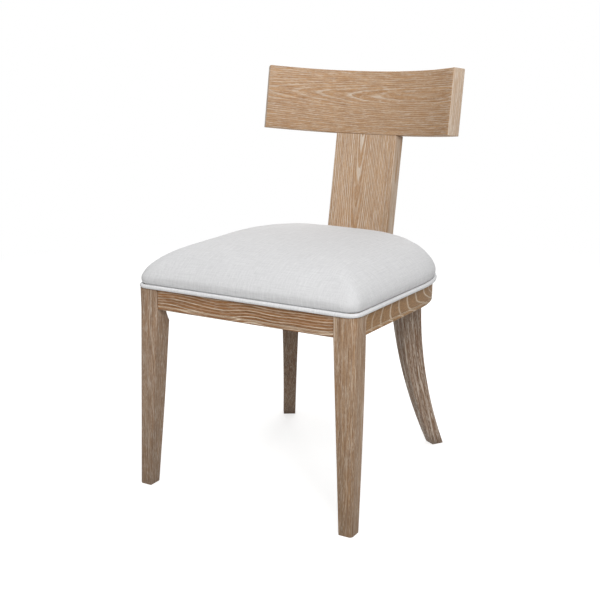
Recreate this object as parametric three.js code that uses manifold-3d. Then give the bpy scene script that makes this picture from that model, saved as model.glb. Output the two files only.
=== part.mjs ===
// Klismos dining chair: tapered front legs, sabre back legs set on the diagonal, curved side rails,
// one wide splat with a bent crest rail, and an upholstered drop-on seat with a welted edge.
// Millimetres, +Z up. The sitter faces -Y. Left and right are as seen by someone who faces the chair.
// While the pieces are made, Y is 0 at the front of the front feet and X is 0 on the middle plane.

import * as THREE from 'three';
import { mergeVertices } from 'three/addons/utils/BufferGeometryUtils.js';
import Module from 'manifold-3d';

const wasm = await Module();
wasm.setup();

// Whole chair
const railTop = 428;
const jointGap = 0.3;
const cutOverrun = 6;

// Front legs: square at the rails, tapered on the two inner faces, and raked a little forwards
const frontWidth = 502;
const frontLegWidth = 47;
const frontLegDepth = 43.5;
const frontFootWidth = 29;
const frontFootDepth = 30;
const frontFootForward = 13.5;
const frontFootOutward = 4;
const frontLegRounding = 12;
const frontFootRounding = 7;
const legChamfer = 20;
const chamferRunout = 48;
const backTaperPower = 1.35;

// Rails: one section all round, with a quirked bead along the lower edge
const railHeight = 43;
const railThickness = 20;
const railRecess = 3;
const beadRadius = 4;
const quirkDepth = 1.8;
const quirkWidth = 1.6;
const rearCornerOut = 57;
const rearCornerBack = 313;
const rearCornerRadius = 200;

// Sabre legs: each stands on a radius of the rear corner
const rearLegTurn = 33 * Math.PI / 180;
const rearLegWidth = 48;
const rearLegDepth = 56;
const rearFootWidth = 29.5;
const rearInnerSweep = 105;
const rearOuterSweep = 78;

// Corner blocks
const blockThickness = 26;
const blockHeight = 34;
const blockNose = 8;
const blockClearance = 2;
const blockScrewShare = 0.85;

// Splat and crest rail
const splatHeight = 283.6;
const splatWidth = 152;
const splatThickness = 28;
const splatRake = 10.9 * Math.PI / 180;
const splatHousing = 1.8;
const crestChord = 457;
const crestSag = 79;
const crestHeight = 143.5;
const crestThickness = 28;
const crestRake = 9.7 * Math.PI / 180;

// Seat pad
const padOverhang = 4;
const padFrontRounding = 21;
const padRearRounding = 60;
const weltRadius = 4.5;
const boardThickness = 12;
const dustCoverThickness = 0.8;
const dustCoverInset = 6;
const coverThickness = 1.6;
const coverBulge = 1;
const creaseHeight = 3.5;
const padHeight = 90;
const crownShare = 0.65;

// Dowels, bolts and screws
const dowelRadius = 4;
const dowelLength = 36;
const dowelHeightShares = [0.22, 0.78];
const crestDowelShare = 0.6;
const rearDowelShare = 0.6;
const boltRadius = 4;
const boltIntoLeg = 20;
const boltTail = 12;
const nutRadius = 7.5;
const nutThickness = 6;
const nutFlangeRadius = 9;
const nutFlangeThickness = 2;
const splatBoltRadius = 3;
const splatBoltSpacing = 46;
const splatBoltGrip = 22;
const splatBoltHeadRadius = 5.8;
const splatBoltHeadThickness = 4;
const screwRadius = 2.2;
const screwHeadRadius = 4;
const screwHeadThickness = 2.6;
const screwPoint = 5;
const screwSeat = 10;
const screwIntoRail = 14;
const seatScrewOffset = 14;
const seatScrewSeat = 20;
const seatScrewIntoBoard = 9;

// Facet counts
const rodSides = 10;
const crestSegments = 28;
const arcSegments = 9;
const legSections = 12;
const outlineSteps = { front: 3, frontCorner: 4, side: 4, rearArc: 6, rearCorner: 4, rear: 2 };
const weltSides = 8;

// Finishes
const oak = { color: 0xa88868, roughness: 0.62, metalness: 0 };
const hiddenWood = { color: 0xc2a57c, roughness: 0.8, metalness: 0 };
const linen = { color: 0xdcdbd8, roughness: 0.95, metalness: 0 };
const piping = { color: 0xe8e7e4, roughness: 0.92, metalness: 0 };
const foam = { color: 0xe9dfb8, roughness: 1, metalness: 0 };
const cambric = { color: 0x202022, roughness: 0.95, metalness: 0 };
const zincSteel = { color: 0xb4b6b8, roughness: 0.35, metalness: 1 };

// Places that follow from the sizes above
const railBottom = railTop - railHeight;
const blockBottom = railTop - blockHeight;
const legFront = frontFootForward;
const legBack = legFront + frontLegDepth;
const legOuter = frontWidth / 2;
const legInner = legOuter - frontLegWidth;
const frontRailFace = legFront + railRecess;
const sideStart = new THREE.Vector2(legOuter - railRecess, legBack);
const cornerCentre = new THREE.Vector2(rearCornerOut, rearCornerBack);
const toCorner = cornerCentre.clone().sub(sideStart);
const sideAngle = Math.asin(rearCornerRadius / toCorner.length()) + Math.atan2(toCorner.x, toCorner.y);
const sideBackward = new THREE.Vector2(Math.sin(sideAngle), Math.cos(sideAngle));
const sideOutward = new THREE.Vector2(Math.cos(sideAngle), -Math.sin(sideAngle));
const splay = new THREE.Vector2(Math.sin(rearLegTurn), Math.cos(rearLegTurn));
const acrossSplay = new THREE.Vector2(Math.cos(rearLegTurn), -Math.sin(rearLegTurn));
const rearLegOuter = Math.sqrt(rearCornerRadius ** 2 - (rearLegWidth / 2) ** 2);
const rearLegInner = rearLegOuter - rearLegDepth;
const rearRailFace = onRearLeg(rearLegOuter, -rearLegWidth / 2).y;
const boardBottom = railTop + dustCoverThickness + 2 * jointGap;
const boardTop = boardBottom + boardThickness;
const weltHeight = railTop + jointGap + weltRadius;
const splatFront = rearRailFace - splatHousing;
const padFront = frontRailFace - padOverhang;
const padRear = splatFront - jointGap - weltRadius;
const crestRadius = ((crestChord / 2) ** 2 + crestSag ** 2) / (2 * crestSag);

// A point of the right sabre leg's plan: out from the corner's centre, and across the splay
function onRearLeg(out, across) {
  return cornerCentre.clone().addScaledVector(splay, out).addScaledVector(acrossSplay, across);
}

// Solids

// Skins a row of rings that have equal counts. The ends close flat, or run to a point where one is given.
function loft(rings, { ring = false, flat = null, firstPoint = null, lastPoint = null } = {}) {
  const count = rings[0].length;
  const points = rings.flat();
  const faces = [];
  const bands = ring ? rings.length : rings.length - 1;
  for (let band = 0; band < bands; band++) {
    const low = band * count;
    const high = ((band + 1) % rings.length) * count;
    for (let i = 0; i < count; i++) {
      const next = (i + 1) % count;
      faces.push([low + i, low + next, high + next], [low + i, high + next, high + i]);
    }
  }
  if (flat) {
    const last = points.length - count;
    const turned = THREE.ShapeUtils.isClockWise(flat);
    for (const triangle of THREE.ShapeUtils.triangulateShape(flat, [])) {
      const [a, b, c] = turned ? triangle.reverse() : triangle;
      faces.push([c, b, a], [last + a, last + b, last + c]);
    }
  }
  for (const [point, start, turned] of [[firstPoint, 0, true], [lastPoint, points.length - count, false]]) {
    if (!point) continue;
    const tip = points.push(point) - 1;
    for (let i = 0; i < count; i++) {
      const next = (i + 1) % count;
      faces.push(turned ? [start + next, start + i, tip] : [start + i, start + next, tip]);
    }
  }
  const volume = faces.reduce((sum, [a, b, c]) =>
    sum + points[a].dot(points[b].clone().cross(points[c])), 0);
  const geometry = new THREE.BufferGeometry().setFromPoints(points);
  geometry.setIndex((volume > 0 ? faces : faces.map(([a, b, c]) => [c, b, a])).flat());
  return solidOf(geometry);
}

function solidOf(geometry) {
  const bare = geometry.clone();
  for (const name of Object.keys(bare.attributes)) {
    if (name !== 'position') bare.deleteAttribute(name);
  }
  const { attributes, index } = mergeVertices(bare);
  return new wasm.Manifold(new wasm.Mesh({
    numProp: 3,
    vertProperties: new Float32Array(attributes.position.array),
    triVerts: new Uint32Array(index.array),
  }));
}

function geometryOf(solid) {
  const { vertProperties, triVerts } = solid.getMesh();
  const geometry = new THREE.BufferGeometry();
  geometry.setAttribute('position', new THREE.BufferAttribute(vertProperties, 3));
  geometry.setIndex(new THREE.BufferAttribute(triVerts, 1));
  return geometry;
}

function joined(solids) {
  return solids.reduce((all, solid) => all.add(solid));
}

// A box between two corners, turned in plan by an angle about the point where it is then put
function box([x0, y0, z0], [x1, y1, z1], turn = 0, place = new THREE.Vector2()) {
  const geometry = new THREE.BoxGeometry(x1 - x0, y1 - y0, z1 - z0);
  geometry.translate((x0 + x1) / 2, (y0 + y1) / 2, (z0 + z1) / 2);
  geometry.rotateZ(turn).translate(place.x, place.y, 0);
  return solidOf(geometry);
}

function mirrored(point) {
  return new THREE.Vector3(-point.x, point.y, point.z);
}

function at(plan, z) {
  return new THREE.Vector3(plan.x, plan.y, z);
}

// A leaning frame: X across, Y back through the thickness, Z up along the face
function leaning(rake, y, z) {
  return new THREE.Matrix4().makeTranslation(0, y, z).multiply(new THREE.Matrix4().makeRotationX(-rake));
}

// Outlines

// Half of the seat pad's outline, from the middle of the front round to the middle of the back.
// Grown is how far the outline stands outside the middle line of the welt.
function halfPadOutline(grown) {
  const side = sideStart.clone().addScaledVector(sideOutward, padOverhang);
  const frontY = padFront + padFrontRounding;
  const frontX = side.x + ((frontY - side.y) * Math.sin(sideAngle) - padFrontRounding) / Math.cos(sideAngle);
  const reach = rearCornerRadius + padOverhang - padRearRounding;
  const rearY = padRear - padRearRounding;
  const rearX = cornerCentre.x + Math.sqrt(reach ** 2 - (rearY - cornerCentre.y) ** 2);
  const rearTurn = Math.atan2(rearY - cornerCentre.y, rearX - cornerCentre.x);
  const quarter = Math.PI / 2;
  const arc = (x, y, radius, start, end, steps) => new THREE.EllipseCurve(
    x, y, radius + grown, radius + grown, start, end).getPoints(steps);
  const frontCorner = arc(frontX, frontY, padFrontRounding, -quarter, -sideAngle, outlineSteps.frontCorner);
  const rearArc = arc(cornerCentre.x, cornerCentre.y, rearCornerRadius + padOverhang, -sideAngle, rearTurn,
    outlineSteps.rearArc);
  const rearCorner = arc(rearX, rearY, padRearRounding, rearTurn, quarter, outlineSteps.rearCorner);
  const straight = (start, end, steps) => new THREE.LineCurve(start, end).getPoints(steps);
  const front = new THREE.Vector2(0, padFront - grown);
  const rear = new THREE.Vector2(0, padRear + grown);
  return [
    ...straight(front, frontCorner[0], outlineSteps.front).slice(0, -1),
    ...frontCorner,
    ...straight(frontCorner.at(-1), rearArc[0], outlineSteps.side).slice(1, -1),
    ...rearArc,
    ...rearCorner.slice(1),
    ...straight(rearCorner.at(-1), rear, outlineSteps.rear).slice(1),
  ];
}

function padOutline(grown) {
  const half = halfPadOutline(grown);
  const other = half.slice(1, -1).reverse().map(({ x, y }) => new THREE.Vector2(-x, y));
  return [...half, ...other];
}

// The outer line of the right side rail, moved inwards by a depth
function sideRailLine(depth, end) {
  const start = sideStart.clone().addScaledVector(sideOutward, -depth).addScaledVector(sideBackward, -cutOverrun);
  const radius = rearCornerRadius - depth;
  const curve = new THREE.EllipseCurve(cornerCentre.x, cornerCentre.y, radius, radius, -sideAngle, end);
  return [start, ...curve.getPoints(arcSegments)];
}

// Rails

// The rail's section as [depth behind the outer face, height above the lower edge]
function railSection() {
  const bead = new THREE.EllipseCurve(-beadRadius, beadRadius, beadRadius, beadRadius, -Math.PI / 2, Math.PI / 4);
  return [
    ...bead.getPoints(4).map(({ x, y }) => [-x, y]),
    [quirkDepth, 2 * beadRadius],
    [0, 2 * beadRadius + quirkWidth],
    [0, railHeight],
    [railThickness, railHeight],
    [railThickness, 0],
  ];
}

// Sweeps the section between lines that give the plan at each depth
function sweptRail(lineAt) {
  const section = railSection();
  const lines = section.map(([depth]) => lineAt(depth));
  const rings = lines[0].map((_, step) =>
    section.map(([, height], i) => at(lines[i][step], railBottom + height)));
  return loft(rings, { flat: section.map(([depth, height]) => new THREE.Vector2(depth, height)) });
}

function frontRail() {
  const line = (depth) => [-1, 1].map((side) => new THREE.Vector2(side * (legInner - jointGap), frontRailFace + depth));
  return sweptRail(line);
}

function rightSideRail() {
  const legEnd = Math.PI / 2 - rearLegTurn;
  return sweptRail((depth) => sideRailLine(depth, legEnd))
    .subtract(box([0, -frontLegDepth, 0], [frontWidth, legBack + jointGap, railTop + cutOverrun]))
    .subtract(rearLegRoom());
}

// The room that a sabre leg's top takes between the rails
function rearLegRoom() {
  const half = rearLegWidth / 2 + jointGap;
  return box([-half, 0, 0], [half, 2 * rearCornerRadius, railTop + cutOverrun], -rearLegTurn, cornerCentre);
}

function rearRail() {
  const end = cornerCentre.x + (rearRailFace - cornerCentre.y) * Math.tan(rearLegTurn);
  const rooms = [rearLegRoom(), rearLegRoom().mirror([1, 0, 0])];
  const line = (depth) => [-end, end].map((x) => new THREE.Vector2(x, rearRailFace - depth));
  return rooms.reduce((rail, room) => rail.subtract(room), sweptRail(line));
}

// Everything between the inner faces of the rails, where the corner blocks fit
function insideRails() {
  const depth = railThickness + jointGap;
  const front = frontRailFace + depth;
  const rear = rearRailFace - depth;
  const half = sideRailLine(depth, Math.PI / 2).map(({ x, y }) =>
    new THREE.Vector2(x, Math.min(Math.max(y, front), rear)));
  const shape = new THREE.Shape([...half, ...half.map(({ x, y }) => new THREE.Vector2(-x, y)).reverse()]);
  const geometry = new THREE.ExtrudeGeometry(shape, { depth: blockHeight, bevelEnabled: false });
  return solidOf(geometry.translate(0, 0, blockBottom));
}

// Legs

function frontRightLeg() {
  const rings = [];
  for (let step = 0; step <= legSections; step++) {
    const rise = step / legSections;
    const down = 1 - rise;
    const z = railBottom * rise;
    rings.push(frontLegSection(down, z));
  }
  rings.push(frontLegSection(0, railTop));
  const flat = rings[0].map(({ x, y }) => new THREE.Vector2(x, y));
  return loft(rings, { flat }).subtract(chamferCutter());
}

// The section of the front leg at a share of the way down from the rails
function frontLegSection(down, z) {
  const mix = THREE.MathUtils.lerp;
  const outer = legOuter + frontFootOutward * down;
  const front = legFront - frontFootForward * down;
  const inner = outer - mix(frontLegWidth, frontFootWidth, down);
  const footBack = frontFootDepth - legBack;
  const back = legBack + footBack * down ** backTaperPower;
  const rounding = mix(frontLegRounding, frontFootRounding, down);
  const corner = new THREE.EllipseCurve(outer - rounding, front + rounding, rounding, rounding, -Math.PI / 2, 0);
  return [new THREE.Vector2(inner, front), ...corner.getPoints(4), new THREE.Vector2(outer, back),
    new THREE.Vector2(inner, back)].map((point) => at(point, z));
}

// Takes off the inner corner of the front leg, with a slope that runs out below the block
function chamferCutter() {
  const deep = legChamfer / Math.SQRT2;
  const shape = new THREE.Shape([
    [-cutOverrun, blockBottom - chamferRunout * (1 + cutOverrun / deep)],
    [deep, blockBottom],
    [deep, railTop + cutOverrun],
    [-cutOverrun, railTop + cutOverrun],
  ].map(([x, y]) => new THREE.Vector2(x, y)));
  const width = 2 * frontLegWidth;
  const geometry = new THREE.ExtrudeGeometry(shape, { depth: width, bevelEnabled: false });
  geometry.translate(0, 0, -width / 2).rotateX(Math.PI / 2).rotateZ(-Math.PI / 4);
  return solidOf(geometry.translate(legInner, legBack, 0));
}

function rearRightLeg() {
  const rings = [];
  const heights = Array.from({ length: legSections }, (_, step) => railBottom * step / (legSections - 1));
  for (const z of [...heights, railTop]) {
    const inner = rearLegInner + rearInnerSweep * (1 - z / railTop) ** 2;
    const outer = rearLegOuter + rearOuterSweep * Math.max(1 - z / railBottom, 0) ** 2;
    const widening = (rearLegWidth - rearFootWidth) * Math.min(z / railBottom, 1) ** 2;
    const half = (rearFootWidth + widening) / 2;
    rings.push([[inner, -half], [inner, half], [outer, half], [outer, -half]]
      .map(([out, across]) => at(onRearLeg(out, across), z)));
  }
  return loft(rings, { flat: rings[0].map(({ x, y }) => new THREE.Vector2(x, y)) });
}

// Back

// A board bent to the crest rail's radius, with radial ends. Its front ends stand at Y 0.
function bentBoard(width, thickness, height, frame) {
  const half = Math.asin(width / 2 / crestRadius);
  const turns = [Math.PI / 2 - half, Math.PI / 2 + half];
  const arc = (radius) => new THREE.EllipseCurve(0, -arcDepth(width / 2) - crestRadius, radius, radius, ...turns)
    .getPoints(Math.ceil(crestSegments * width / crestChord));
  const shape = new THREE.Shape([...arc(crestRadius), ...arc(crestRadius + thickness).reverse()]);
  const geometry = new THREE.ExtrudeGeometry(shape, { depth: height, bevelEnabled: false });
  return solidOf(geometry.applyMatrix4(frame));
}

function arcDepth(x) {
  return Math.sqrt(crestRadius ** 2 - x ** 2) - crestRadius;
}

const splatCornerDepth = crestSag + arcDepth(splatWidth / 2);
const crestBottom = railTop + splatHeight + splatCornerDepth * Math.sin(crestRake);
const crestFront = splatFront + splatHeight * Math.tan(splatRake) - splatCornerDepth * Math.cos(crestRake);
const farAway = 2 * (railTop + splatHeight);
const crestFrame = leaning(crestRake, crestFront, crestBottom);
const splatFrame = leaning(splatRake, splatFront, railTop);

function crestRail() {
  return bentBoard(crestChord, crestThickness, crestHeight, crestFrame);
}

// The splat is bent like the crest rail, and its foot is filled out flat where it bears on the rear rail
function backSplat() {
  const below = new THREE.Matrix4().makeTranslation(0, 0, -splatHeight);
  const board = bentBoard(splatWidth, splatThickness, farAway, splatFrame.clone().multiply(below));
  const slab = new THREE.BoxGeometry(splatWidth, splatThickness / 2, farAway);
  const foot = solidOf(slab.translate(0, splatThickness / 4, 0).applyMatrix4(splatFrame))
    .subtract(box([-farAway, 0, railTop], [farAway, farAway, farAway]));
  const belowRail = box([-farAway, 0, -farAway], [farAway, farAway, railBottom]);
  const railSeat = box([-farAway, 0, 0], [farAway, rearRailFace + jointGap, railTop + jointGap]);
  const aboveCrest = new THREE.BoxGeometry(farAway, farAway, farAway);
  aboveCrest.translate(0, 0, farAway / 2 - jointGap).applyMatrix4(crestFrame);
  return board.add(foot).subtract(belowRail).subtract(railSeat).subtract(solidOf(aboveCrest));
}

// Corner blocks: a bar across each corner. The seat is the point where its bolt enters the leg, and
// inwards points away from the leg. Each end has its reach along the bar and the rail that it meets.

// For a point in plan, the way straight into the rail and the gap to the rail's inner face
const railFaces = {
  front: ({ y }) => ({ drive: new THREE.Vector2(0, -1), gap: y - frontRailFace - railThickness }),
  rear: ({ y }) => ({ drive: new THREE.Vector2(0, 1), gap: rearRailFace - railThickness - y }),
  side: (point) => {
    const out = point.clone().sub(cornerCentre);
    const drive = out.dot(sideBackward) > 0 ? out.clone().normalize() : sideOutward;
    return { drive, gap: rearCornerRadius - railThickness - out.dot(drive) };
  },
};

function cornerPlan(name, seat, inwards, reachesFrom) {
  const along = new THREE.Vector2(inwards.y, -inwards.x);
  const middle = seat.clone().addScaledVector(inwards, jointGap + blockThickness / 2);
  return { name, seat, inwards, along, middle, ends: reachesFrom(middle, along) };
}

function frontCorner() {
  const chamferMiddle = new THREE.Vector2(legInner + legChamfer / 2, legBack - legChamfer / 2);
  return cornerPlan('front_right', chamferMiddle, new THREE.Vector2(-1, 1).normalize(), (middle, along) => [
    { reach: railFaces.front(middle).gap / -along.y, face: railFaces.front },
    { reach: railFaces.side(middle).gap / along.dot(sideOutward), face: railFaces.side },
  ]);
}

function rearCorner() {
  const innerRadius = rearCornerRadius - railThickness;
  return cornerPlan('rear_right', onRearLeg(rearLegInner, 0), splay.clone().negate(), (middle, along) => [
    { reach: railFaces.rear(middle).gap / along.y, face: railFaces.rear },
    { reach: -Math.sqrt(innerRadius ** 2 - middle.distanceTo(cornerCentre) ** 2), face: railFaces.side },
  ]);
}

// The bar is trimmed to the rails, and clear of the bolts that hold the splat
function cornerBlock({ seat, along, ends }) {
  const reaches = ends.map(({ reach }) => reach);
  const [start, end] = [Math.min(...reaches) - blockNose, Math.max(...reaches) + blockNose];
  const bar = box([start, jointGap, blockBottom], [end, jointGap + blockThickness, railTop],
    Math.atan2(along.y, along.x), seat);
  const clear = splatBoltSpacing / 2 + splatBoltHeadRadius + blockClearance;
  return bar.intersect(insideRails()).subtract(box([-clear, 0, 0], [clear, rearRailFace, railTop + cutOverrun]));
}

// Seat pad

// The pad's form as [share of the plan, share of the rise], from the crease over the welt to near the crown
const padShares = [
  [0.990, 0.02], [1.000, 0.108], [0.995, 0.187], [0.980, 0.279], [0.950, 0.393], [0.900, 0.519],
  [0.820, 0.657], [0.700, 0.795], [0.550, 0.901], [0.370, 0.968], [0.180, 0.995],
];
const padMiddle = new THREE.Vector2(0, THREE.MathUtils.lerp(padFront, padRear, crownShare));
const padFoot = weltHeight + weltRadius;
const padWall = -(weltRadius + jointGap);

function padRing([share, up], inset) {
  const z = padFoot + padHeight * up - inset * Math.sqrt(up);
  return padOutline(coverBulge - inset).map((point) => at(point.sub(padMiddle).multiplyScalar(share).add(padMiddle), z));
}

function level(outline, z) {
  return outline.map((point) => at(point, z));
}

function crown(inset) {
  return at(padMiddle, padFoot + padHeight - inset);
}

// A fabric shell, open below, whose edge runs down between the welt and the board
function seatCover() {
  const outer = level(padOutline(padWall), boardBottom);
  const inner = level(padOutline(padWall - coverThickness), boardBottom);
  const rings = [
    ...padShares.map((share) => padRing(share, coverThickness)).reverse(),
    level(padOutline(padWall - coverThickness), weltHeight + creaseHeight),
    inner, outer,
    level(padOutline(padWall), weltHeight + creaseHeight),
    ...padShares.map((share) => padRing(share, 0)),
  ];
  return loft(rings, { firstPoint: crown(coverThickness), lastPoint: crown(0) });
}

function foamPad() {
  const inset = coverThickness + jointGap;
  const [foot, ...shares] = padShares;
  const bottom = padRing(foot, inset).map(({ x, y }) => new THREE.Vector3(x, y, boardTop + jointGap));
  const rings = [bottom, ...shares.map((share) => padRing(share, inset))];
  return loft(rings, { firstPoint: at(padMiddle, boardTop + jointGap), lastPoint: crown(inset) });
}

function sheet(outline, bottom, thickness) {
  const geometry = new THREE.ExtrudeGeometry(new THREE.Shape(outline), { depth: thickness, bevelEnabled: false });
  return solidOf(geometry.translate(0, 0, bottom));
}

function welt() {
  const middle = padOutline(0);
  const outside = padOutline(weltRadius);
  const rings = middle.map((point, i) => Array.from({ length: weltSides }, (_, side) => {
    const angle = 2 * Math.PI * side / weltSides;
    const plan = point.clone().lerp(outside[i], Math.cos(angle));
    return at(plan, weltHeight + weltRadius * Math.sin(angle));
  }));
  return loft(rings, { ring: true });
}

// Fasteners: each shape and the room cut for it lie along +Y, which is turned to the way it drives

function cylinder(radius, start, end, sides = rodSides) {
  return new THREE.CylinderGeometry(radius, radius, end - start, sides).translate(0, (start + end) / 2, 0);
}

function screwShape(length) {
  const profile = [
    [0, -screwHeadThickness], [0.8 * screwHeadRadius, -screwHeadThickness], [screwHeadRadius, 0],
    [screwRadius, 0], [screwRadius, length - screwPoint], [0, length],
  ].map(([x, y]) => new THREE.Vector2(x, y));
  return new THREE.LatheGeometry(profile, rodSides);
}

function screwRoom(length, recess) {
  return joined([
    solidOf(cylinder(screwHeadRadius + jointGap, -recess, jointGap)),
    solidOf(cylinder(screwRadius + jointGap, 0, length + jointGap)),
  ]);
}

function boltShape(radius, length, headRadius, headThickness) {
  return joined([
    solidOf(cylinder(headRadius, -headThickness, 0, 6)),
    solidOf(cylinder(radius, -headThickness / 2, length)),
  ]);
}

function nutShape() {
  const flange = solidOf(cylinder(nutFlangeRadius, 0, nutFlangeThickness, 2 * rodSides));
  const hexagon = solidOf(cylinder(nutRadius, nutFlangeThickness / 2, nutFlangeThickness + nutThickness, 6));
  const bore = solidOf(cylinder(boltRadius + jointGap, -cutOverrun, nutFlangeThickness + nutThickness + cutOverrun));
  return flange.add(hexagon).subtract(bore);
}

const dowel = {
  shape: solidOf(cylinder(dowelRadius, -dowelLength / 2, dowelLength / 2)),
  room: solidOf(cylinder(dowelRadius + jointGap, -dowelLength / 2 - jointGap, dowelLength / 2 + jointGap)),
  finish: hiddenWood,
};
const blockDepth = jointGap + blockThickness;
const hangerBolt = {
  shape: solidOf(cylinder(boltRadius, -boltIntoLeg, blockDepth + boltTail)),
  room: solidOf(cylinder(boltRadius + jointGap, -boltIntoLeg - jointGap, blockDepth + boltTail)),
  finish: zincSteel,
};
const flangeNut = { shape: nutShape(), finish: zincSteel };
const blockScrew = {
  shape: solidOf(screwShape(screwSeat + screwIntoRail)),
  room: screwRoom(screwSeat + screwIntoRail, blockThickness),
  finish: zincSteel,
};
const seatScrewLength = seatScrewSeat + boardBottom - railTop + seatScrewIntoBoard;
const seatScrew = {
  shape: solidOf(screwShape(seatScrewLength)),
  room: screwRoom(seatScrewLength, blockHeight),
  finish: zincSteel,
};
const splatBoltLength = railThickness + jointGap + splatBoltGrip;
const splatBolt = {
  shape: boltShape(splatBoltRadius, splatBoltLength, splatBoltHeadRadius, splatBoltHeadThickness),
  room: solidOf(cylinder(splatBoltRadius + jointGap, -cutOverrun, splatBoltLength + jointGap)),
  finish: zincSteel,
};

// Fasteners of the right half, as a name, a kind, the point where it seats and the way it drives
function rightFasteners() {
  const list = [];
  const add = (name, kind, point, drive) => list.push({ name, kind, point, drive: drive.clone().normalize() });
  const flatWay = ({ x, y }) => new THREE.Vector3(x, y, 0);
  const middleHeight = railBottom + railHeight / 2;
  const half = rearLegWidth / 2;
  const midRail = railThickness / 2;
  const railRadius = rearCornerRadius - midRail;
  const rearJointY = rearRailFace - rearDowelShare * railThickness;
  const rearJointOut = (rearJointY - cornerCentre.y - half * Math.sin(rearLegTurn)) / Math.cos(rearLegTurn);
  const joints = [
    ['front_rail_right_dowel', new THREE.Vector2(legInner, frontRailFace + midRail), new THREE.Vector2(1, 0)],
    ['right_side_rail_front_dowel', sideStart.clone().addScaledVector(sideOutward, -midRail), sideBackward],
    ['right_side_rail_rear_dowel', onRearLeg(Math.sqrt(railRadius ** 2 - half ** 2), half), acrossSplay],
    ['rear_rail_right_dowel', onRearLeg(rearJointOut, -half),
      new THREE.Vector2(-Math.cos(rearLegTurn / 2), Math.sin(rearLegTurn / 2))],
  ];
  for (const [name, point, way] of joints) {
    dowelHeightShares.forEach((share, i) => {
      add(`${name}_${i + 1}`, dowel, at(point, railBottom + share * railHeight), flatWay(way));
    });
  }
  const crestX = crestDowelShare * splatWidth / 2;
  const crestDepth = crestSag + arcDepth(crestX) + crestThickness / 2;
  const crestPoint = new THREE.Vector3(crestX, crestDepth, 0).applyMatrix4(crestFrame);
  add('crest_right_dowel', dowel, crestPoint, new THREE.Vector3(0, Math.sin(crestRake), Math.cos(crestRake)));
  for (const { name, seat, inwards, along, middle, ends } of [frontCorner(), rearCorner()]) {
    add(`${name}_hanger_bolt`, hangerBolt, at(seat, middleHeight), flatWay(inwards));
    const nutPlace = seat.clone().addScaledVector(inwards, blockDepth + jointGap);
    add(`${name}_nut`, flangeNut, at(nutPlace, middleHeight), flatWay(inwards));
    ends.forEach(({ reach, face }, i) => {
      const place = middle.clone().addScaledVector(along, blockScrewShare * reach);
      const { drive, gap } = face(place);
      const head = place.addScaledVector(drive, gap - screwSeat);
      add(`${name}_block_screw_${i + 1}`, blockScrew, at(head, middleHeight), flatWay(drive));
    });
    const seatPoint = middle.clone().addScaledVector(along, seatScrewOffset);
    add(`${name}_seat_screw`, seatScrew, at(seatPoint, railTop - seatScrewSeat), new THREE.Vector3(0, 0, 1));
  }
  const splatBoltPoint = new THREE.Vector3(splatBoltSpacing / 2, rearRailFace - railThickness - jointGap, middleHeight);
  add('splat_right_bolt', splatBolt, splatBoltPoint, new THREE.Vector3(0, 1, 0));
  return list;
}

function leftOf(name) {
  return name.replace('right', 'left');
}

const fasteners = rightFasteners().flatMap((item) => [
  item,
  { ...item, name: leftOf(item.name), point: mirrored(item.point), drive: mirrored(item.drive) },
]);

function turnOf(drive) {
  return new THREE.Quaternion().setFromUnitVectors(new THREE.Vector3(0, 1, 0), drive);
}

function drilling() {
  const rooms = fasteners.filter(({ kind }) => kind.room).map(({ kind, point, drive }) => {
    const matrix = new THREE.Matrix4().compose(point, turnOf(drive), new THREE.Vector3(1, 1, 1));
    return solidOf(geometryOf(kind.room).applyMatrix4(matrix));
  });
  return joined(rooms);
}

// The chair

const chair = new THREE.Group();
const holes = drilling();

function addMesh(name, solid, finish) {
  const material = new THREE.MeshStandardMaterial({ ...finish, flatShading: true });
  const mesh = new THREE.Mesh(geometryOf(solid), material);
  mesh.name = name;
  chair.add(mesh);
  return mesh;
}

function addDrilled(name, solid, finish) {
  addMesh(name, solid.subtract(holes), finish);
}

function addPair(name, solid, finish) {
  addDrilled(name, solid, finish);
  addDrilled(leftOf(name), solid.mirror([1, 0, 0]), finish);
}

addPair('front_right_leg', frontRightLeg(), oak);
addPair('rear_right_leg', rearRightLeg(), oak);
addDrilled('front_rail', frontRail(), oak);
addPair('right_side_rail', rightSideRail(), oak);
addDrilled('rear_rail', rearRail(), oak);
addDrilled('back_splat', backSplat(), oak);
addDrilled('crest_rail', crestRail(), oak);
addPair('front_right_block', cornerBlock(frontCorner()), hiddenWood);
addPair('rear_right_block', cornerBlock(rearCorner()), hiddenWood);

const boardInset = padWall - coverThickness - jointGap;
addDrilled('dust_cover', sheet(padOutline(boardInset - dustCoverInset), railTop + jointGap, dustCoverThickness), cambric);
addDrilled('seat_board', sheet(padOutline(boardInset), boardBottom, boardThickness), hiddenWood);
addMesh('foam_pad', foamPad(), foam);
addMesh('seat_cover', seatCover(), linen);
addMesh('welt', welt(), piping);

for (const { name, kind, point, drive } of fasteners) {
  const mesh = addMesh(name, kind.shape, kind.finish);
  mesh.position.copy(point);
  mesh.quaternion.copy(turnOf(drive));
}

const bounds = new THREE.Box3().setFromObject(chair);
chair.position.y = -(bounds.min.y + bounds.max.y) / 2;

export default chair;
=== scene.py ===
import math

import bmesh
import bpy
from mathutils import Matrix, Vector, noise
from mathutils.bvhtree import BVHTree


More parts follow.
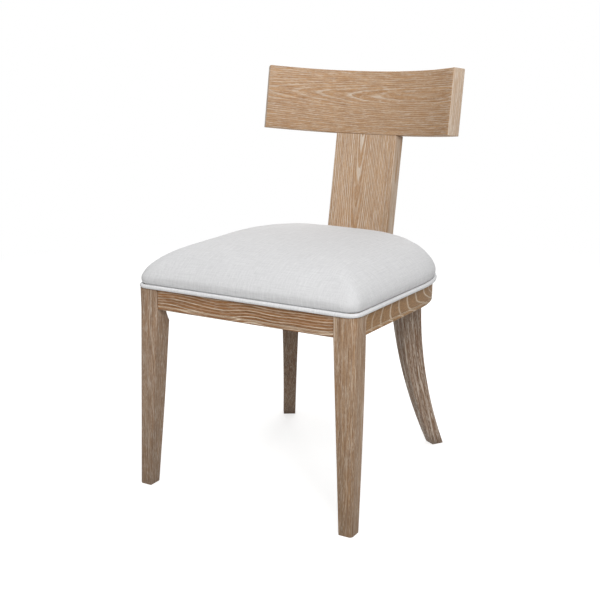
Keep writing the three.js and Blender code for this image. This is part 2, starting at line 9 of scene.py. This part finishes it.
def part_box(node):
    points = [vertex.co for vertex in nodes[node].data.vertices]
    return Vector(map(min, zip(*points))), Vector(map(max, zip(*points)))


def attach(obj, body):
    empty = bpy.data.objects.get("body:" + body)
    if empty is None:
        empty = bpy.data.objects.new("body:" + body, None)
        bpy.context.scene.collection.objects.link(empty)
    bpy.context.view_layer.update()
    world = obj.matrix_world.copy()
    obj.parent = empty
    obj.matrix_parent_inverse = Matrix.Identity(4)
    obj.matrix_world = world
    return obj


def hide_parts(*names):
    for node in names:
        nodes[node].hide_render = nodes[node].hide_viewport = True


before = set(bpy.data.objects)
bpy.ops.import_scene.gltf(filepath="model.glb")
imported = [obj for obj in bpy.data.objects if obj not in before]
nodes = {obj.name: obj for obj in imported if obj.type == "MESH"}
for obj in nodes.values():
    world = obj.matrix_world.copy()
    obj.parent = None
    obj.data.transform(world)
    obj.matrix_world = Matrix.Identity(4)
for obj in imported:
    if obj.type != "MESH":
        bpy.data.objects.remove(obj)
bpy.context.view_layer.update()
weld = 1e-6  # m, points nearer than this are one
print("frame loaded:", len(nodes), "CAD pieces")


# Helpers

def linear(hexColour):
    channels = [int(hexColour[i:i + 2], 16) / 255 for i in (1, 3, 5)]
    return [c / 12.92 if c <= 0.04045 else ((c + 0.055) / 1.055) ** 2.4 for c in channels] + [1]


# Adds a node. An input takes a value, a socket, or a node, whose first output it then reads.
def addNode(tree, kind, inputs={}, stops=(), **settings):
    node = tree.nodes.new("ShaderNode" + kind)
    for name, value in settings.items():
        setattr(node, name, value)
    if stops:
        points = node.color_ramp.elements
        points[0].position, points[-1].position = stops[0][0], stops[-1][0]
        for place, value in stops[1:-1]:
            points.new(place)
        for point, (place, value) in zip(points, stops):
            point.color = linear(value) if isinstance(value, str) else (value, value, value, 1)
    for name, value in inputs.items():
        if isinstance(value, bpy.types.Node):
            value = value.outputs[0]
        if isinstance(value, bpy.types.NodeSocket):
            tree.links.new(value, node.inputs[name])
        else:
            node.inputs[name].default_value = value
    return node


def newMaterial(name, roughness, colour="#808080"):
    material = bpy.data.materials.new(name)
    material.use_nodes = True
    shader = material.node_tree.nodes["Principled BSDF"]
    shader.inputs["Base Color"].default_value = linear(colour)
    shader.inputs["Roughness"].default_value = roughness
    return material, material.node_tree, shader


def newPiece(name, bm, material, stands):
    mesh = bpy.data.meshes.new(name)
    bm.to_mesh(mesh)
    bm.free()
    mesh.shade_smooth()
    mesh.materials.append(material)
    piece = bpy.data.objects.new(name, mesh)
    bpy.context.scene.collection.objects.link(piece)
    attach(piece, "root")
    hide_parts(*stands)
    return piece


# Limed oak: planed, wire brushed so the soft early wood opens, rubbed with pale wax, then matt lacquered.
# It gives tan wood with whitish broken lines that follow the growth rings.

limedOak = {
    "haze": "#93816e",          # wax rubbed thin over whole patches
    "roughness": 0.6,
    "inGroove": 0.95,           # how much of a groove the wax covers
    "rippleReach": 3,           # mm that quick noise pushes the rings about
    # Noise layers as (mm across the grain, mm along it, detail). Pores are really 0.3 mm across and 3 to 8 mm
    # long. They are drawn coarser here, and their clusters coarser still, so that they show.
    "layers": {
        "wander": (110, 420, 1),
        "ripple": (22, 120, 1.5),
        "clusters": (1.8, 42, 2),
        "pores": (0.8, 10, 1),
        "streaks": (2.4, 150, 3),
        "patches": (38, 150, 2),
        "fuzz": (1.6, 4, 1),
    },
}

# Each batch of wood: its colour from dense to open, and the colour of the wax on it
woods = {
    "back": {"dense": "#98714d", "open": "#b9926a", "wax": "#d8cdbf"},
    "rails": {"dense": "#694524", "open": "#9a693c", "wax": "#e4d2bb"},
    "sides": {"dense": "#7c5c3a", "open": "#a17a50", "wax": "#d8c8b2"},
    "legs": {"dense": "#785b42", "open": "#a28266", "wax": "#d8cabb"},
    "warmLegs": {"dense": "#806044", "open": "#ab8764", "wax": "#dccbb8"},
    # The rear legs' batch is drawn darker than their wood: partly painted shade, standing in for the shade
    # under the seat
    "shadeDarkenedLegs": {"dense": "#5c402c", "open": "#86664c", "wax": "#d6c9ba"},
}


def oakMaterial(name, board):
    material, tree, shader = newMaterial("limedOak_" + name, limedOak["roughness"])
    grain = addNode(tree, "Attribute", attribute_name="grain").outputs["Vector"]
    layer = {}
    for key, (across, along, detail) in limedOak["layers"].items():
        along *= board.get("sway", 1) if key == "wander" else 1
        size = (1 / across, 1 / across, 1 / along)
        scaled = addNode(tree, "VectorMath", {0: grain, 1: size}, operation="MULTIPLY")
        layer[key] = addNode(tree, "TexNoise", {"Vector": scaled, "Scale": 1, "Detail": detail})

    # Growth rings are tubes about the pith, pushed about by slow and quick noise
    fromPith = addNode(tree, "VectorMath", {0: grain, 1: (*board["pith"], 0)}, operation="SUBTRACT")
    for key, reach in (("wander", board["wander"] * 2), ("ripple", limedOak["rippleReach"])):
        push = addNode(tree, "VectorMath", {0: layer[key].outputs["Color"], 1: (0.5, 0.5, 0.5)},
                       operation="SUBTRACT")
        fromPith = addNode(tree, "VectorMath", {0: push, 1: (reach, reach, 0), 2: fromPith},
                           operation="MULTIPLY_ADD")
    flat = addNode(tree, "VectorMath", {0: fromPith, 1: (1, 1, 0)}, operation="MULTIPLY")
    radius = addNode(tree, "VectorMath", {0: flat}, operation="LENGTH").outputs["Value"]
    count = addNode(tree, "Math", {0: radius, 1: board["ring"]}, operation="DIVIDE")
    phase = addNode(tree, "Math", {0: count}, operation="FRACT")
    whole = addNode(tree, "Math", {0: count}, operation="FLOOR")
    share = board["early"]
    earlyWood = addNode(tree, "ValToRGB", {"Fac": phase},
                        stops=[(0, 0), (0.05, 1), (share * 0.8, 0.8), (share * 1.3, 0.04), (1, 0)])
    luck = addNode(tree, "TexWhiteNoise", {"W": whole}, noise_dimensions="1D")
    luck = addNode(tree, "MapRange", {"Value": luck, "To Min": 0.45})
    earlyWood = addNode(tree, "Math", {0: earlyWood, 1: luck}, operation="MULTIPLY")

    # Wax sits in the pores: broken lines in the early wood, and scattered dashes between
    clusters = addNode(tree, "ValToRGB", {"Fac": layer["clusters"]}, stops=[(0.4, 0), (0.62, 1)])
    pores = addNode(tree, "ValToRGB", {"Fac": layer["pores"]}, stops=[(0.42, 0), (0.62, 1)])
    broken = addNode(tree, "Math", {0: clusters, 1: 1 - board["whole"], 2: board["whole"]},
                     operation="MULTIPLY_ADD")
    broken = addNode(tree, "Math", {0: pores, 1: 0.3, 2: broken}, operation="MULTIPLY_ADD")
    lines = addNode(tree, "Math", {0: earlyWood, 1: broken}, operation="MULTIPLY")
    lines = addNode(tree, "Math", {0: lines, 1: board["lines"]}, operation="MULTIPLY")
    dashes = addNode(tree, "Math", {0: clusters, 1: pores}, operation="MULTIPLY")
    dashes = addNode(tree, "Math", {0: dashes, 1: board["dashes"]}, operation="MULTIPLY")
    waxed = addNode(tree, "Math", {0: lines, 1: dashes}, operation="MAXIMUM")
    groove = addNode(tree, "Attribute", attribute_name="groove").outputs["Fac"]
    waxed = addNode(tree, "Math", {0: groove, 1: limedOak["inGroove"], 2: waxed}, operation="MULTIPLY_ADD")
    waxed.use_clamp = True

    # The wood: streaks between dense and open, hazed by thin wax in patches
    batch = woods[board["wood"]]
    streaks = addNode(tree, "ValToRGB", {"Fac": layer["streaks"]},
                      stops=[(0.3, batch["dense"]), (0.7, batch["open"])])
    hazed = addNode(tree, "MapRange", {"Value": layer["patches"], "From Min": 0.35, "From Max": 0.7,
                                       "To Min": board["haze"] * 0.35, "To Max": board["haze"]})
    wood = addNode(tree, "MixRGB", {"Fac": hazed, "Color1": streaks, "Color2": linear(limedOak["haze"])})
    fuzz = addNode(tree, "MapRange", {"Value": layer["fuzz"], "From Min": 0.3, "From Max": 0.7,
                                      "To Min": 0.9, "To Max": 1.1})
    wood = addNode(tree, "VectorMath", {0: wood, "Scale": fuzz}, operation="SCALE")
    colour = addNode(tree, "MixRGB", {"Fac": waxed, "Color1": wood, "Color2": linear(batch["wax"])})

    relief = addNode(tree, "Math", {0: pores, 1: earlyWood}, operation="MULTIPLY")
    bump = addNode(tree, "Bump", {"Height": relief, "Strength": 0.3, "Distance": 0.0003}, invert=True)
    tree.links.new(colour.outputs[0], shader.inputs["Base Color"])
    tree.links.new(bump.outputs[0], shader.inputs["Normal"])
    shader.inputs["IOR"].default_value = 1.5
    shader.inputs["Specular IOR Level"].default_value = 0.3  # the wax and the matt lacquer scatter the shine
    return material


# Boards: where the pith lies (mm across the board and into it), the ring spacing (mm) and the share of it
# that is open early wood, how far the grain wanders (mm), how strongly the lines show, how much of each is
# whole, and how strongly dashes and haze show. Sway is the share of the usual length over which the grain
# wanders. Tilt and climb are its slope into the board and across it. A bow is where the log curves: its
# place, length and rise (mm). Bent boards are laminated, so their grain follows the bend (m and degrees). The
# side rails and sabre legs are sawn, so their curve cuts across the rings.
boards = {
    "crest_rail": {"wood": "back", "pith": (88, 15), "ring": 3.8, "early": 0.32, "wander": 2.5, "lines": 0.75,
                   "whole": 0.25, "dashes": 0.5, "haze": 0.1, "bow": (140, 300, 24),
                   "bend": {"centre": (0, -0.1140, 0.7726), "rake": 9.7, "radius": 0.37, "alongArc": True}},
    "back_splat": {"wood": "back", "pith": (-12, 22.4), "ring": 4, "early": 0.42, "wander": 1.5, "lines": 0.9,
                   "whole": 0.4, "dashes": 0.42, "haze": 0.3, "tilt": 0.05,
                   "bend": {"centre": (0, -0.1672, 0.4965), "rake": 10.9, "radius": 0.37, "alongArc": False}},
    "front_rail": {"wood": "rails", "pith": (-70, 50), "ring": 5.6, "early": 0.27, "wander": 15, "sway": 0.36,
                   "lines": 1, "whole": 0.4, "dashes": 0.3, "haze": 0.05, "tilt": 0.02},
    "rear_rail": {"wood": "rails", "pith": (-50, -60), "ring": 6.4, "early": 0.3, "wander": 11, "sway": 0.5,
                  "lines": 0.8, "whole": 0.4, "dashes": 0.2, "haze": 0.1},
    "left_side_rail": {"wood": "sides", "pith": (40, 47), "ring": 8.5, "early": 0.17, "wander": 2,
                       "lines": 0.8, "whole": 0.8, "dashes": 0.12, "haze": 0.15, "tilt": 0.235,
                       "climb": 0.15},
    "right_side_rail": {"wood": "sides", "pith": (43.8, 51), "ring": 8.5, "early": 0.17, "wander": 2,
                        "lines": 0.85, "whole": 0.8, "dashes": 0.12, "haze": 0.15, "tilt": 0.235,
                        "climb": 0.15},
    "front_left_leg": {"wood": "legs", "pith": (-262, -390), "ring": 7, "early": 0.3, "wander": 10,
                       "lines": 0.45, "whole": 0, "dashes": 0.6, "haze": 0.25},
    "front_right_leg": {"wood": "warmLegs", "pith": (300, -240), "ring": 8, "early": 0.25, "wander": 12,
                        "lines": 0.6, "whole": 0, "dashes": 0.6, "haze": 0.25},
    # Both rear legs take the darker batch, which paints in the shade that falls on them under the seat
    "rear_left_leg": {"wood": "shadeDarkenedLegs", "pith": (60, 260), "ring": 8, "early": 0.3, "wander": 10,
                      "lines": 0.35, "whole": 0, "dashes": 0.5, "haze": 0.45},
    "rear_right_leg": {"wood": "shadeDarkenedLegs", "pith": (-34, 110), "ring": 10, "early": 0.34, "wander": 18,
                       "lines": 1, "whole": 0.1, "dashes": 0.85, "haze": 0.2, "tilt": 0.05},
}
# The centre that side rails and sabre legs turn about (m), their radius (mm), and their angles (degrees)
rearCorner = {"out": 0.057, "back": 0.0105, "radius": 200, "flare": 2.04, "splay": 33}
legSweep = {"reach": 58, "top": 0.428}  # mm out at the foot, and m up where it starts
railFoot = 385.3  # mm, the height of the rails' lower edge
easing = {"leg": 0.0016, "splat": 0.0014, "rail": 0.0005}  # m
edges = {
    "flat": 0.4, "sharp": 42, "shaded": 32,  # degrees: faces that are one, edges to ease, edges shaded sharp
    "shortest": 0.006, "above": 0.001,       # m: shorter edges and those on the floor stay as they are
}
# The quirk is the groove over a rail's bead. Its faces slope more than this, between these heights over the
# rail's foot (mm). Faces whose middle is no higher than beadTop are the bead's own, and took less wax.
quirk = {"slope": 0.25, "low": 5.8, "high": 9.9, "beadTop": 6.5, "beadWax": 0.4}
# The crest's ends are lipped with strips that took more wax. Their grain is read from another place of the
# board (across, depth and away, in mm), and from is how far along it counts as lipping.
lipping = {"facing": 0.8, "across": 200, "depth": 30, "away": 700, "from": 500, "wax": 0.3}


# The place of a point in the board's grain: across the board, into it, and along it, in mm
def grainPlace(name, board, front, point, normal):
    across, depth, along = point.x * 1000, point.y * 1000, point.z * 1000
    if "bend" in board:
        bend = board["bend"]
        local = Matrix.Rotation(math.radians(bend["rake"]), 3, "X") @ (point - Vector(bend["centre"]))
        turn = math.atan2(local.x, local.y)
        depth = (math.hypot(local.x, local.y) - bend["radius"]) * 1000
        across, along = turn * bend["radius"] * 1000, local.z * 1000
        if bend["alongArc"]:
            across, along = along, across
            if abs(normal.dot(Vector((math.cos(turn), -math.sin(turn), 0)))) > lipping["facing"]:
                across, depth, along = depth + lipping["across"], lipping["depth"], across + lipping["away"]
    elif name in ("front_rail", "rear_rail"):
        across, depth, along = along - railFoot, depth - front * 1000, across
    elif "rail" in name or "rear" in name:
        side = -1 if "left" in name else 1
        turned = rearCorner["flare" if "rail" in name else "splay"] * side
        corner = Vector((rearCorner["out"] * side, rearCorner["back"], 0))
        local = Matrix.Rotation(math.radians(turned), 3, "Z") @ (point - corner) * 1000
        if "rail" in name:
            across, depth, along = along - railFoot, rearCorner["radius"] - local.x * side, local.y
        else:
            swept = legSweep["reach"] * max(1 - point.z / legSweep["top"], 0) ** 2
            across, depth = local.x, local.y - swept
    depth += board.get("tilt", 0) * along
    across -= board.get("climb", 0) * along
    if "bow" in board:
        place, length, rise = board["bow"]
        depth -= rise * (1 - math.exp(-((along - place) / length) ** 2))
    return across, depth, along


# Show wood: each board is a copy of its solid with the sharp edges eased by sandpaper
def easedBoard(name, board):
    bm = bmesh.new()
    bm.from_mesh(nodes[name].data)
    bmesh.ops.remove_doubles(bm, verts=bm.verts, dist=weld)
    bmesh.ops.dissolve_limit(bm, angle_limit=math.radians(edges["flat"]), verts=bm.verts, edges=bm.edges)
    sharp = [e for e in bm.edges if e.calc_face_angle(0) > math.radians(edges["sharp"])]
    sharp = [e for e in sharp if e.calc_length() > edges["shortest"]]
    sharp = [e for e in sharp if max(v.co.z for v in e.verts) > edges["above"]]
    width = easing["splat" if "bend" in board else name.split("_")[-1]]
    bmesh.ops.bevel(bm, geom=sharp, offset=width, offset_type="OFFSET", segments=3, profile=0.5,
                    affect="EDGES", material=-1)
    bmesh.ops.triangulate(bm, faces=[f for f in bm.faces if len(f.verts) > 4])
    piece = newPiece(name + "_eased", bm, oakMaterial(name, board), [name])
    mesh = piece.data
    mesh.set_sharp_from_angle(angle=math.radians(edges["shaded"]))
    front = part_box(name)[0][1]
    mesh.attributes.new("grain", "FLOAT_VECTOR", "CORNER")
    mesh.attributes.new("groove", "FLOAT", "CORNER")
    grain, groove = mesh.attributes["grain"], mesh.attributes["groove"]
    for face in mesh.polygons:
        waxed = name.endswith("rail") and abs(face.normal.z) > quirk["slope"]
        waxed *= 1 if face.center.z * 1000 - railFoot > quirk["beadTop"] else quirk["beadWax"]
        for corner in face.loop_indices:
            point = mesh.vertices[mesh.loops[corner].vertex_index].co
            place = grainPlace(name, board, front, point, face.normal)
            grain.data[corner].vector = place
            inQuirk = quirk["low"] < point.z * 1000 - railFoot < quirk["high"]
            groove.data[corner].value = lipping["wax"] if place[2] > lipping["from"] else waxed * inQuirk


for name, board in boards.items():
    easedBoard(name, board)
print("show wood eased and limed")


# Linen: a plain weave of slubby yarn, pulled over wadding. It gives a matt off-white cloth with faint lines
# both ways, a few thicker than the rest.

linen = {
    "shade": "#c7c7c8",
    "light": "#dadadb",
    "roughness": 0.95,
    "pipingPaintedLight": 1.17,  # painted light: the piping's linen is drawn this much brighter than the cover's, for the light on its round cord
    # Yarn as (mm across, mm along). Threads are really 0.5 mm, drawn coarser so that they show.
    "yarns": {"thread": (1.1, 14), "slub": (3, 55)},
}


def linenMaterial(name, bright):
    material, tree, shader = newMaterial(name, linen["roughness"])
    place = addNode(tree, "UVMap", uv_map="cloth")
    total = 0
    for across, along in linen["yarns"].values():
        for width, length in ((across, along), (along, across)):
            scaled = addNode(tree, "VectorMath", {0: place, 1: (1000 / width, 1000 / length, 0)},
                             operation="MULTIPLY")
            yarn = addNode(tree, "TexNoise", {"Vector": scaled, "Scale": 1, "Detail": 1.5})
            total = addNode(tree, "Math", {0: yarn, 1: 0.25, 2: total}, operation="MULTIPLY_ADD")
    colour = addNode(tree, "ValToRGB", {"Fac": total}, stops=[(0.38, linen["shade"]), (0.62, linen["light"])])
    # A brightness above 1 is painted light, used for the piping
    colour = addNode(tree, "VectorMath", {0: colour, "Scale": bright}, operation="SCALE")
    bump = addNode(tree, "Bump", {"Height": total, "Strength": 0.5, "Distance": 0.0006})
    tree.links.new(colour.outputs[0], shader.inputs["Base Color"])
    tree.links.new(bump.outputs[0], shader.inputs["Normal"])
    shader.inputs["Sheen Weight"].default_value = 0.1
    shader.inputs["Sheen Roughness"].default_value = 0.5
    return material


def clothCoordinates(piece, top):
    uv = piece.data.uv_layers.new(name="cloth")
    for loop in piece.data.loops:
        v = piece.data.vertices[loop.vertex_index]
        drop = top - v.co.z
        uv.data[loop.index].uv = (v.co.x + v.normal.x * drop, v.co.y + v.normal.y * drop)


# Seat pad: foam and wadding pulled down under linen, tucked in behind the welt

# Lengths and heights in metres
pad = {
    "drop": 0.0075,                      # how far the edge goes down behind the welt
    "foot": 0.0022, "side": 0.0035,      # how far the form starts out from the foam's at its foot and sides
    "shoulder": 0.0045, "sink": 0.0065,  # how far it is fuller on the slopes, and lower at the crown
    "voxel": 0.006, "frames": 18, "pressure": 4, "tension": 20, "bending": 8,
    "pinBelow": 0.441, "cap": 0.003,     # what is held while it swells, and how far the rest may move
    "crown": 0.456, "softening": 24,     # from what height the top is evened out, and how many times
    "lump": 0.06, "uneven": 0.0009,      # between the wadding's lumps, and their rise
    "edge": 0.001, "atSides": 0.2,       # shares: of the height that is edge, and of the rise that sides get
}


def applyModifiers(piece):
    evaluated = piece.evaluated_get(bpy.context.evaluated_depsgraph_get())
    mesh = bpy.data.meshes.new_from_object(evaluated)
    piece.modifiers.clear()
    piece.data = mesh


def swell(piece):
    start = [v.co.copy() for v in piece.data.vertices]
    pins = piece.vertex_groups.new(name="pins")
    pins.add([v.index for v in piece.data.vertices if v.co.z < pad["pinBelow"]], 1, "REPLACE")
    cloth = piece.modifiers.new("cloth", "CLOTH")
    cloth.settings.use_pressure = True
    cloth.settings.uniform_pressure_force = pad["pressure"]
    cloth.settings.vertex_group_mass = "pins"
    cloth.settings.effector_weights.gravity = 0
    cloth.settings.tension_stiffness = pad["tension"]
    cloth.settings.bending_stiffness = pad["bending"]
    for step in range(1, pad["frames"] + 1):
        bpy.context.scene.frame_set(step)
    applyModifiers(piece)
    for v, home in zip(piece.data.vertices, start):
        move = v.co - home
        if move.length > pad["cap"]:
            v.co = home + move * (pad["cap"] / move.length)
    bpy.context.scene.frame_set(1)


def seatPad():
    bm = bmesh.new()
    bm.from_mesh(nodes["foam_pad"].data)
    bmesh.ops.remove_doubles(bm, verts=bm.verts, dist=weld)
    bm.normal_update()
    low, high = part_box("foam_pad")[0][2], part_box("foam_pad")[1][2]
    moves = []
    for v in bm.verts:
        up = (v.co.z - low) / (high - low)
        middle = math.sqrt(max(4 * up * (1 - up), 0))
        out = pad["foot"] * (1 - up) + pad["side"] * middle
        moves.append(Vector((v.normal.x, v.normal.y, 0)) * out + v.normal * pad["shoulder"] * middle)
        moves[-1].z -= pad["sink"] * up ** 2 + (pad["drop"] if up < pad["edge"] else 0)
    for v, move in zip(bm.verts, moves):
        v.co += move
    piece = newPiece("seat_pad", bm, linenMaterial("linenCover", 1), ["seat_cover", "foam_pad"])
    remesh = piece.modifiers.new("remesh", "REMESH")
    remesh.mode = "VOXEL"
    remesh.voxel_size = pad["voxel"]
    applyModifiers(piece)
    swell(piece)
    crown = piece.vertex_groups.new(name="crown")
    crown.add([v.index for v in piece.data.vertices if v.co.z > pad["crown"]], 1, "REPLACE")
    for group, times in (("", 3), ("crown", pad["softening"])):
        even = piece.modifiers.new("even", "SMOOTH")
        even.iterations = times
        even.factor = 0.5
        even.vertex_group = group
    finer = piece.modifiers.new("finer", "SUBSURF")
    finer.levels = finer.render_levels = 1
    applyModifiers(piece)
    unevenWadding(piece)
    liftOffBoard(piece, low)
    piece.data.shade_smooth()
    clothCoordinates(piece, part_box("seat_cover")[1][2])
    return piece


# Wadding is never quite even, so the cloth over it rises and falls a little. All moves are worked out before
# any is made, because Blender makes all normals again for a normal read after a move.
def unevenWadding(piece):
    rises = [noise.noise(v.co / pad["lump"]) * pad["uneven"] * max(v.normal.z, pad["atSides"])
             for v in piece.data.vertices]
    moves = [v.normal * rise for v, rise in zip(piece.data.vertices, rises)]
    for v, move in zip(piece.data.vertices, moves):
        v.co += move


# The pad rests on the board, and only its edge goes down round it
def liftOffBoard(piece, rest):
    bm = bmesh.new()
    bm.from_mesh(nodes["seat_board"].data)
    tree = BVHTree.FromBMesh(bm)
    bm.free()
    for v in piece.data.vertices:
        if v.co.z < rest and tree.ray_cast((v.co.x, v.co.y, rest), (0, 0, -1))[0]:
            v.co.z = rest


print("seat pad swelled:", len(seatPad().data.polygons), "faces")


# Welt: piping cord wrapped in the same linen, cut on the bias
def weltPiping():
    bm = bmesh.new()
    bm.from_mesh(nodes["welt"].data)
    bmesh.ops.remove_doubles(bm, verts=bm.verts, dist=weld)
    bmesh.ops.subdivide_edges(bm, edges=bm.edges, cuts=1, use_grid_fill=True, smooth=0)
    # The piping is the cover's linen drawn brighter, as painted light on the round cord
    piece = newPiece("welt_piping", bm, linenMaterial("linenPipingPaintedLight", linen["pipingPaintedLight"]), ["welt"])
    clothCoordinates(piece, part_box("welt")[1][2])
    return piece


print("welt wrapped:", len(weltPiping().data.polygons), "faces")


# Joinery and hardware, hidden or seen only from below: each CAD node keeps its mesh and gets its real finish

hiddenWoods = {"beechPlaned": ("#b8966c", "#c9ab82"), "birchPlywood": ("#b99a6c", "#d3b98d")}
fleck = (160, 4, 4)                        # mm
plyPair = {"height": 0.003, "paler": 0.4}  # m, and how much paler every second ply is
cambric = {"dark": "#141415", "light": "#2a2a2c", "fibre": 2.2}                      # mm
zinc = {"dull": "#a3a6a8", "bright": "#c3c6c8", "roughness": 0.34, "mottle": 3}      # mm


# Beech is planed and unfinished: pale pinkish brown with short darker flecks. Birch plywood shows its plies
# as stripes along the edge, 1.5 mm each.
def hiddenWood(name, plies):
    material, tree, shader = newMaterial(name, 0.75)
    place = addNode(tree, "TexCoord").outputs["Object"]
    size = [1000 / length for length in fleck]
    scaled = addNode(tree, "VectorMath", {0: place, 1: size}, operation="MULTIPLY")
    factor = addNode(tree, "TexNoise", {"Vector": scaled, "Scale": 1, "Detail": 3})
    if plies:
        height = addNode(tree, "SeparateXYZ", {0: place}).outputs["Z"]
        ply = addNode(tree, "Math", {0: height, 1: plyPair["height"]}, operation="DIVIDE")
        ply = addNode(tree, "Math", {0: ply}, operation="FRACT")
        ply = addNode(tree, "Math", {0: ply, 1: 0.5}, operation="GREATER_THAN")
        half = addNode(tree, "Math", {0: factor, 1: 0.5}, operation="MULTIPLY")
        factor = addNode(tree, "Math", {0: ply, 1: plyPair["paler"], 2: half}, operation="MULTIPLY_ADD")
    dense, pale = hiddenWoods[name]
    colour = addNode(tree, "ValToRGB", {"Fac": factor}, stops=[(0.3, dense), (0.7, pale)])
    bump = addNode(tree, "Bump", {"Height": factor, "Strength": 0.2, "Distance": 0.0003})
    tree.links.new(colour.outputs[0], shader.inputs["Base Color"])
    tree.links.new(bump.outputs[0], shader.inputs["Normal"])
    return material


# Cambric: a black non-woven dust cover of pressed fibres. It gives a dull, faintly speckled black.
def cambricMaterial():
    material, tree, shader = newMaterial("blackCambric", 0.95)
    place = addNode(tree, "TexCoord").outputs["Object"]
    fibres = addNode(tree, "TexVoronoi", {"Vector": place, "Scale": 1000 / cambric["fibre"]},
                     feature="DISTANCE_TO_EDGE")
    colour = addNode(tree, "ValToRGB", {"Fac": fibres}, stops=[(0, cambric["light"]), (0.2, cambric["dark"])])
    bump = addNode(tree, "Bump", {"Height": fibres, "Strength": 0.3, "Distance": 0.0002}, invert=True)
    tree.links.new(colour.outputs[0], shader.inputs["Base Color"])
    tree.links.new(bump.outputs[0], shader.inputs["Normal"])
    return material


# Zinc-plated steel: a thin bright plating over rolled threads and pressed heads. It gives a soft, mottled
# grey shine.
def zincMaterial():
    material, tree, shader = newMaterial("zincPlatedSteel", zinc["roughness"])
    place = addNode(tree, "TexCoord").outputs["Object"]
    mottle = addNode(tree, "TexNoise", {"Vector": place, "Scale": 1000 / zinc["mottle"], "Detail": 3})
    colour = addNode(tree, "ValToRGB", {"Fac": mottle}, stops=[(0.35, zinc["dull"]), (0.65, zinc["bright"])])
    tree.links.new(colour.outputs[0], shader.inputs["Base Color"])
    shader.inputs["Metallic"].default_value = 1
    return material


beech, plywood = hiddenWood("beechPlaned", False), hiddenWood("birchPlywood", True)
black, plated = cambricMaterial(), zincMaterial()
finishOf = {"dowel": beech, "block": beech, "board": plywood, "cover": black, "bolt": plated, "nut": plated,
            "screw": plated}
for name, node in nodes.items():
    words = [word for word in name.split("_") if word in finishOf]
    if words and not node.hide_render:
        node.data.materials.clear()
        node.data.materials.append(finishOf[words[-1]])
print("hidden pieces finished")


# Camera, floor and light

# Fitted to the photograph's straight edges: metres, degrees and mm
view = {"place": (1.06298, -1.88689, 0.91631), "azimuth": 30.18, "pitch": 14.16, "lens": 61.33, "sensor": 36}
camera = bpy.data.objects.new("camera", bpy.data.cameras.new("camera"))
camera.location = view["place"]
camera.rotation_euler = (math.radians(90 - view["pitch"]), 0, math.radians(view["azimuth"]))
camera.data.lens = view["lens"]
camera.data.sensor_width = view["sensor"]
bpy.context.scene.collection.objects.link(camera)
bpy.context.scene.camera = camera

# The floor fades to white from near to far. Half is half its width, and aim is the height that the lamps
# point at (all four in metres). Lift is the light added to what the camera sees of it.
studio = {"floor": "#d2d2d1", "lift": 0.64, "world": 0.32, "near": 1.1, "far": 2.6, "half": 30, "aim": 0.45}
lamps = {
    "key": {"place": (1.9, -2.7, 2.6), "size": 1.8, "watts": 86},
    "back": {"place": (-1.4, 3.0, 2.2), "size": 2.2, "watts": 40},
    "fill": {"place": (-1.8, -2.9, 1.4), "size": 2.4, "watts": 5},
    "top": {"place": (0.2, -0.2, 3.2), "size": 2.0, "watts": 28},
}


# The background is white to the camera, and also where something shiny or clear shows it
def backgroundRays(tree):
    rays = addNode(tree, "LightPath").outputs
    seen = addNode(tree, "Math", {0: rays["Is Camera Ray"], 1: rays["Is Glossy Ray"]}, operation="MAXIMUM")
    return addNode(tree, "Math", {0: seen, 1: rays["Is Transmission Ray"]}, operation="MAXIMUM")


# White paper: the camera sees it raised to white, all white far off, and the chair's shadow stays near by
def paperMaterial():
    material, tree, shader = newMaterial("studioPaper", 0.9, studio["floor"])
    shader.inputs["Specular IOR Level"].default_value = 0.1
    place = addNode(tree, "TexCoord").outputs["Object"]
    reach = addNode(tree, "VectorMath", {0: place}, operation="LENGTH").outputs["Value"]
    away = addNode(tree, "MapRange", {"Value": reach, "From Min": studio["near"], "From Max": studio["far"]})
    white = addNode(tree, "Emission", {"Color": (1, 1, 1, 1), "Strength": 1})
    lift = addNode(tree, "Emission", {"Color": (1, 1, 1, 1), "Strength": studio["lift"]})
    raised = addNode(tree, "AddShader", {0: shader, 1: lift})
    shown = addNode(tree, "MixShader", {0: away, 1: raised, 2: white})
    either = addNode(tree, "MixShader", {0: backgroundRays(tree), 1: shader, 2: shown})
    tree.links.new(either.outputs[0], tree.nodes["Material Output"].inputs["Surface"])
    return material


bm = bmesh.new()
bmesh.ops.create_grid(bm, x_segments=1, y_segments=1, size=studio["half"])
floorMesh = bpy.data.meshes.new("floor")
bm.to_mesh(floorMesh)
bm.free()
floorMesh.materials.append(paperMaterial())
floor = bpy.data.objects.new("floor", floorMesh)
bpy.context.scene.collection.objects.link(floor)

world = bpy.data.worlds.new("studio")
bpy.context.scene.world = world
world.use_nodes = True
tree = world.node_tree
background = tree.nodes["Background"]
background.inputs["Color"].default_value = (1, 1, 1, 1)
background.inputs["Strength"].default_value = studio["world"]
white = addNode(tree, "Background", {"Color": (1, 1, 1, 1), "Strength": 1})
mix = addNode(tree, "MixShader", {0: backgroundRays(tree), 1: background, 2: white})
tree.links.new(mix.outputs[0], tree.nodes["World Output"].inputs["Surface"])

for name, lamp in lamps.items():
    light = bpy.data.lights.new(name, "AREA")
    light.size = lamp["size"]
    light.energy = lamp["watts"]
    piece = bpy.data.objects.new(name, light)
    piece.location = lamp["place"]
    ray = Vector((0, 0, studio["aim"])) - Vector(lamp["place"])
    piece.rotation_euler = ray.to_track_quat("-Z", "Y").to_euler()
    bpy.context.scene.collection.objects.link(piece)
bpy.context.scene.view_settings.view_transform = "Standard"
print("camera, floor and lamps set")
